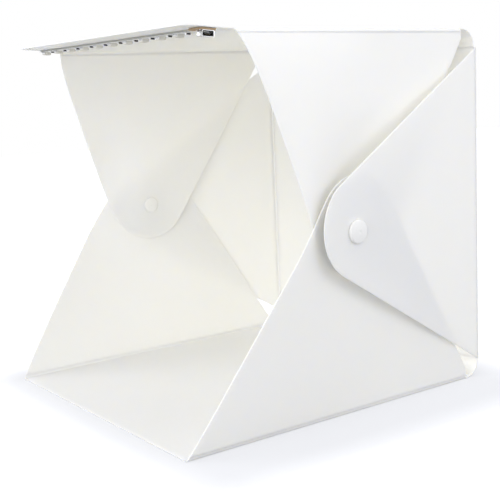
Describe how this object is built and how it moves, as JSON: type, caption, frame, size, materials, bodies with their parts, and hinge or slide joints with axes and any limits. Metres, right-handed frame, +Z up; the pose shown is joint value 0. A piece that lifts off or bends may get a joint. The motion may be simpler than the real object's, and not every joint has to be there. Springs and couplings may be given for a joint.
{
  "type": "folding light tent cube",
  "caption": "Folding tabletop light tent: a white plastic sheet folded into an open-fronted cube, snapped together at its sides, with a light strip and power socket under its lip.",
  "frame": {"origin": "on the ground, in the middle of the box's footprint", "axes": "+X to the right as one faces the open front, +Y to the rear wall, +Z up"},
  "size_m": [0.2628, 0.245, 0.2433],
  "materials": {
    "sheet": "satin, fine matt grain, slightly translucent",
    "snap": "moulded, semi-gloss",
    "tape": "foam tape",
    "flex_circuit": "white solder mask",
    "led_package": "white package with a yellow phosphor window",
    "resistor": "black glaze with tinned ends",
    "board": "brown phenolic laminate",
    "socket_shell": "tinned",
    "socket_insert": "black moulded"
  },
  "bodies": {
    "base": {"base_panel": "sheet"},
    "back": {"back_panel": "sheet"},
    "top": {"top_panel": "sheet", "strip_adhesive": "tape", "led_strip": "flex_circuit", "led_chip_01": "led_package", "led_chip_02": "led_package", "led_chip_03": "led_package", "led_chip_04": "led_package", "led_chip_05": "led_package", "led_chip_06": "led_package", "led_chip_07": "led_package", "led_chip_08": "led_package", "led_chip_09": "led_package", "led_chip_10": "led_package", "led_resistor_01": "resistor", "led_resistor_02": "resistor", "led_resistor_03": "resistor", "led_resistor_04": "resistor", "led_resistor_05": "resistor", "led_resistor_06": "resistor", "led_resistor_07": "resistor", "led_resistor_08": "resistor", "led_resistor_09": "resistor", "led_resistor_10": "resistor", "inlet_board": "board", "inlet_shell": "socket_shell", "inlet_insert": "socket_insert"},
    "lower_wing_right": {"lower_wing_right": "sheet", "snap_lower_stud_right": "snap", "snap_lower_socket_right": "snap"},
    "lower_wing_left": {"lower_wing_left": "sheet", "snap_lower_stud_left": "snap", "snap_lower_socket_left": "snap"},
    "upper_wing_right": {"upper_wing_right": "sheet", "snap_upper_stud_right": "snap", "snap_inner_cap_right": "snap"},
    "upper_wing_left": {"upper_wing_left": "sheet", "snap_upper_stud_left": "snap", "snap_inner_cap_left": "snap"},
    "flap_right": {"rear_flap_right": "sheet", "snap_cap_right": "snap", "snap_flap_socket_right": "snap"},
    "flap_left": {"rear_flap_left": "sheet", "snap_cap_left": "snap", "snap_flap_socket_left": "snap"}
  },
  "joints": [
    {"name": "back_fold", "type": "hinge", "parent": "base", "child": "back", "pos_m": [0, 0.1225, 0], "axis": [-1, 0, 0], "range_deg": [0, 90]},
    {"name": "top_fold", "type": "hinge", "parent": "back", "child": "top", "pos_m": [0, 0.1225, 0.241], "axis": [-1, 0, 0], "range_deg": [0, 90]},
    {"name": "flap_right_open", "type": "hinge", "parent": "back", "child": "flap_right", "pos_m": [0.1142, 0.1225, 0], "axis": [0, 0, 1], "range_deg": [0, 85]},
    {"name": "flap_left_open", "type": "hinge", "parent": "back", "child": "flap_left", "pos_m": [-0.1142, 0.1225, 0], "axis": [0, 0, -1], "range_deg": [0, 85]},
    {"name": "lower_wing_right_open", "type": "hinge", "parent": "base", "child": "lower_wing_right", "pos_m": [0.113, 0, 0], "axis": [0, 1, 0], "range_deg": [0, 60]},
    {"name": "lower_wing_left_open", "type": "hinge", "parent": "base", "child": "lower_wing_left", "pos_m": [-0.113, 0, 0], "axis": [0, -1, 0], "range_deg": [0, 60]},
    {"name": "upper_wing_right_fold", "type": "hinge", "parent": "top", "child": "upper_wing_right", "pos_m": [0.111, 0, 0.2399], "axis": [0, 1, 0], "range_deg": [0, 86]},
    {"name": "upper_wing_left_fold", "type": "hinge", "parent": "top", "child": "upper_wing_left", "pos_m": [-0.111, 0, 0.2399], "axis": [0, -1, 0], "range_deg": [0, 76]}
  ],
  "couplings": [
    {"joint": "lower_wing_right_open", "follows": "flap_right_open", "ratio": 0.68},
    {"joint": "lower_wing_left_open", "follows": "flap_left_open", "ratio": 0.68}
  ]
}
